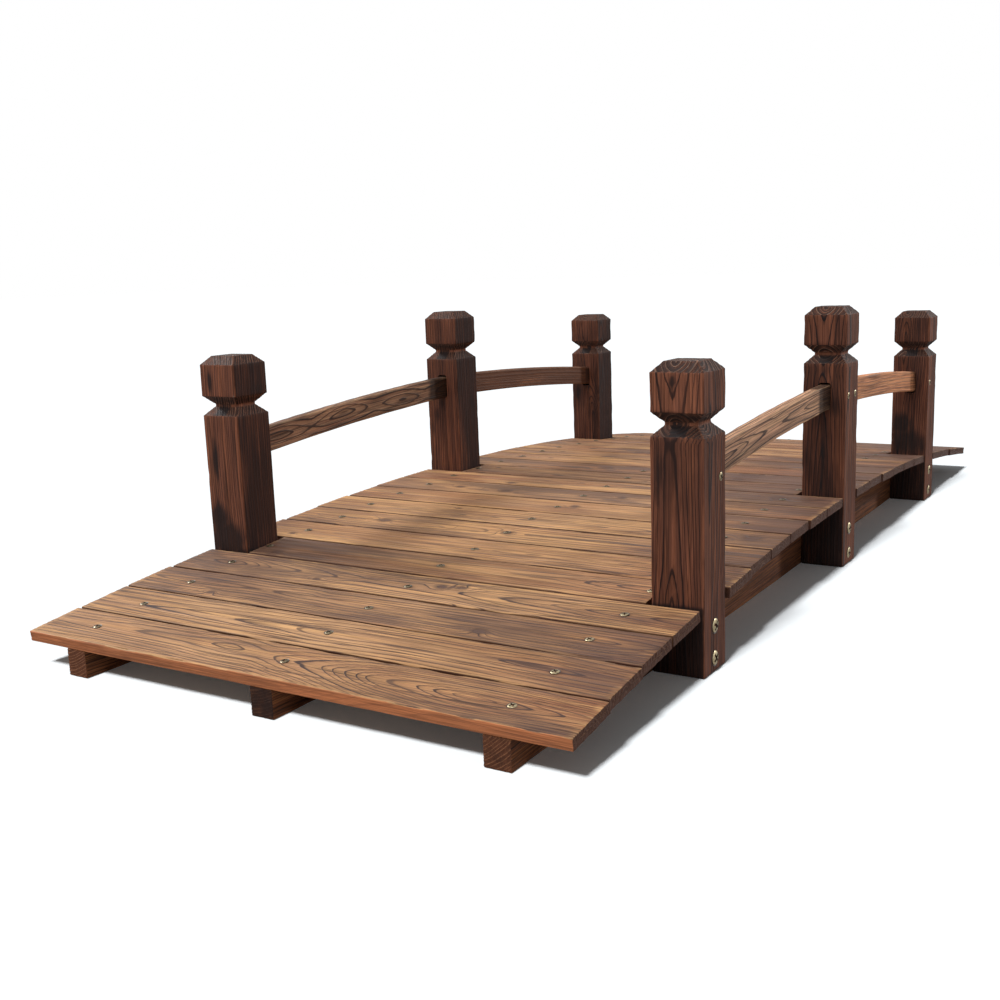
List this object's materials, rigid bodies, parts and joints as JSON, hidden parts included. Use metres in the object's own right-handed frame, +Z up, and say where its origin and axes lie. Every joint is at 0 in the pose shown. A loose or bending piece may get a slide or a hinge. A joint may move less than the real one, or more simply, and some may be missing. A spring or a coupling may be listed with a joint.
{
  "type": "garden footbridge",
  "caption": "Small arched wooden garden footbridge: boards on arched stringers, square posts with notched heads, and bowed handrails let into the posts.",
  "frame": {"origin": "on the ground under the middle of the bridge", "axes": "+X along the bridge towards its back end, +Y across it towards its left side, +Z up"},
  "size_m": [1.6028, 0.67, 0.348],
  "materials": {
    "deck": "carbonised and brushed softwood, mid brown with dark grain",
    "stringers": "carbonised softwood, dark brown",
    "posts": "carbonised and stained softwood, dark red-brown",
    "rails": "carbonised and brushed softwood, light brown with strong grain",
    "screws": "yellow-plated steel screw heads"
  },
  "bodies": {
    "root": {"deck_board_01": "deck", "deck_board_02": "deck", "deck_board_03": "deck", "deck_board_04": "deck", "deck_board_05": "deck", "deck_board_06": "deck", "deck_board_07": "deck", "deck_board_08": "deck", "deck_board_09": "deck", "deck_board_10": "deck", "deck_board_11": "deck", "deck_board_12": "deck", "deck_board_13": "deck", "deck_board_14": "deck", "deck_board_15": "deck", "deck_board_16": "deck", "deck_board_17": "deck", "deck_board_18": "deck", "deck_board_19": "deck", "deck_board_20": "deck", "deck_board_21": "deck", "deck_board_22": "deck", "deck_board_23": "deck", "post_left_back": "posts", "post_left_front": "posts", "post_left_middle": "posts", "post_right_back": "posts", "post_right_front": "posts", "post_right_middle": "posts", "rail_left_back": "rails", "rail_left_front": "rails", "rail_right_back": "rails", "rail_right_front": "rails", "stringer_left": "stringers", "stringer_middle": "stringers", "stringer_right": "stringers"}
  },
  "joints": []
}
